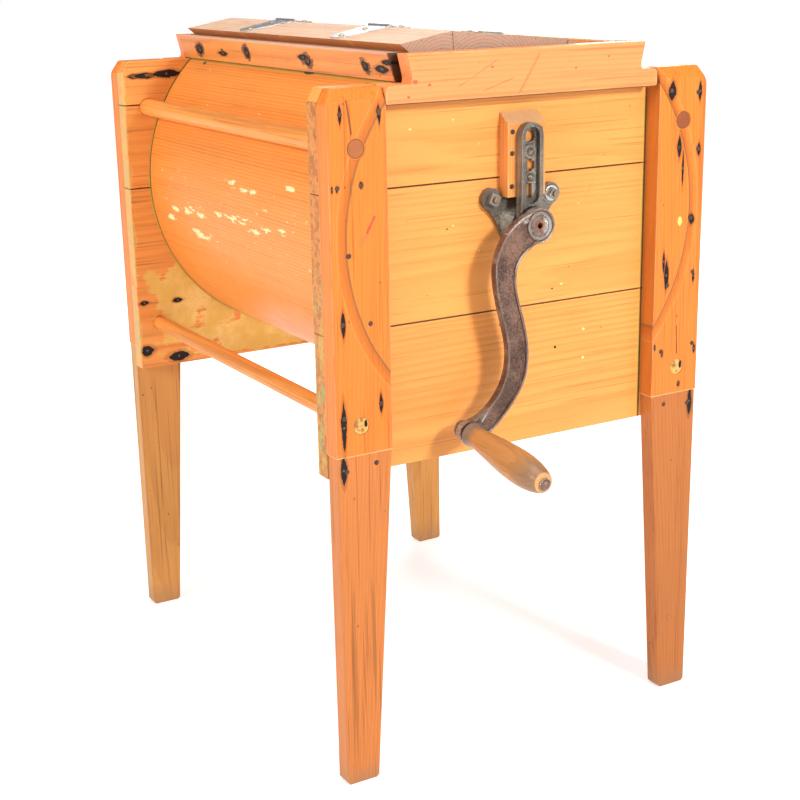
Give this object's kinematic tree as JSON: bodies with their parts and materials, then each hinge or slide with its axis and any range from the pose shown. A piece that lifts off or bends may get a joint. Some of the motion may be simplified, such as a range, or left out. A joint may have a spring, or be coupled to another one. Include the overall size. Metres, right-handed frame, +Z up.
{
  "type": "hand-cranked barrel butter churn",
  "caption": "Wooden butter churn on four tapering legs: rounded tub, arched hinged lift-off lid, hand crank with turning grip, sliding iron latch and a paddle dasher inside.",
  "frame": {"origin": "on the floor, under the middle of the whole object's bounding box, hand grip included", "axes": "+X to the right seen from the crank end, +Y away from the crank end along the tub's axis, +Z up"},
  "size_m": [0.49, 0.7768, 0.8225],
  "materials": {
    "front_board_pine": "varnished",
    "leg_pine": "varnished",
    "rod_wood": "varnished",
    "tub_wood": "varnished",
    "hopper_wood": "varnished",
    "lid_wood": "bare, worn",
    "grip_wood": "satin, handled",
    "dasher_wood": "bare",
    "cast_iron": "bare, dark",
    "crank_iron": "rusty, dark",
    "galvanised_steel": "dull zinc",
    "screw_brass": "tarnished",
    "nail_iron": "rusty"
  },
  "bodies": {
    "frame": {"end_board_front_bottom": "front_board_pine", "end_board_front_middle": "front_board_pine", "end_board_front_top": "front_board_pine", "end_board_back_bottom": "front_board_pine", "end_board_back_middle": "front_board_pine", "end_board_back_top": "front_board_pine", "leg_front_left": "leg_pine", "leg_front_right": "leg_pine", "leg_back_left": "leg_pine", "leg_back_right": "leg_pine", "foot_front_left": "leg_pine", "foot_front_right": "leg_pine", "foot_back_left": "leg_pine", "foot_back_right": "leg_pine", "leg_nails": "nail_iron", "rod_upper_left": "rod_wood", "rod_upper_right": "rod_wood", "rod_lower_left": "rod_wood", "rod_lower_right": "rod_wood", "tub_wall": "tub_wood", "hopper_side_left": "hopper_wood", "hopper_side_right": "hopper_wood", "hopper_nails": "nail_iron", "hopper_rail_front": "hopper_wood", "hopper_rail_back": "hopper_wood", "bearing_block": "hopper_wood", "block_nails": "nail_iron", "crank_bearing": "cast_iron", "bearing_bolts": "screw_brass", "bearing_nuts": "galvanised_steel", "bearing_washer": "galvanised_steel", "latch_screws": "galvanised_steel", "latch_washers": "galvanised_steel", "rear_bearing": "cast_iron", "rear_bearing_screws": "galvanised_steel"},
    "latch": {"latch_slide": "cast_iron"},
    "crank": {"crank_arm": "crank_iron", "crank_shaft": "crank_iron", "grip_spindle": "crank_iron", "dasher_shaft": "dasher_wood", "dasher_ribs": "dasher_wood", "dasher_floats": "dasher_wood", "dasher_pegs": "dasher_wood", "dasher_socket": "crank_iron", "dasher_gudgeon": "crank_iron"},
    "hand_grip": {"grip": "grip_wood"},
    "lid": {"lid_centre": "lid_wood", "lid_centre_screws": "screw_brass", "hinge_plates_left": "galvanised_steel", "hinge_plates_right": "galvanised_steel", "hinge_pins_left": "galvanised_steel", "hinge_pins_right": "galvanised_steel"},
    "left_flap": {"lid_flap_left": "lid_wood", "lid_left_screws": "screw_brass", "hinge_straps_left": "galvanised_steel"},
    "right_flap": {"lid_flap_right": "lid_wood", "lid_right_screws": "screw_brass", "hinge_straps_right": "galvanised_steel"}
  },
  "joints": [
    {"name": "crank_turn", "type": "hinge", "parent": "frame", "child": "crank", "pos_m": [0, -0.218, 0.613], "axis": [0, 1, 0], "continuous": true},
    {"name": "grip_spin", "type": "hinge", "parent": "crank", "child": "hand_grip", "pos_m": [-0.09107, -0.244, 0.39528], "axis": [0, -0.9914, -0.1305], "continuous": true},
    {"name": "latch_slide", "type": "slide", "parent": "frame", "child": "latch", "axis": [0, 0, 1], "range_m": [0, 0.019]},
    {"name": "lid_lift", "type": "slide", "parent": "frame", "child": "lid", "axis": [0, 0, 1], "range_m": [0, 0.2]},
    {"name": "flap_left", "type": "hinge", "parent": "lid", "child": "left_flap", "pos_m": [-0.08033, 0.082, 0.8202], "axis": [0, 1, 0], "range_deg": [0, 110]},
    {"name": "flap_right", "type": "hinge", "parent": "lid", "child": "right_flap", "pos_m": [0.0684, 0.082, 0.80578], "axis": [0, -1, 0], "range_deg": [0, 110]}
  ]
}
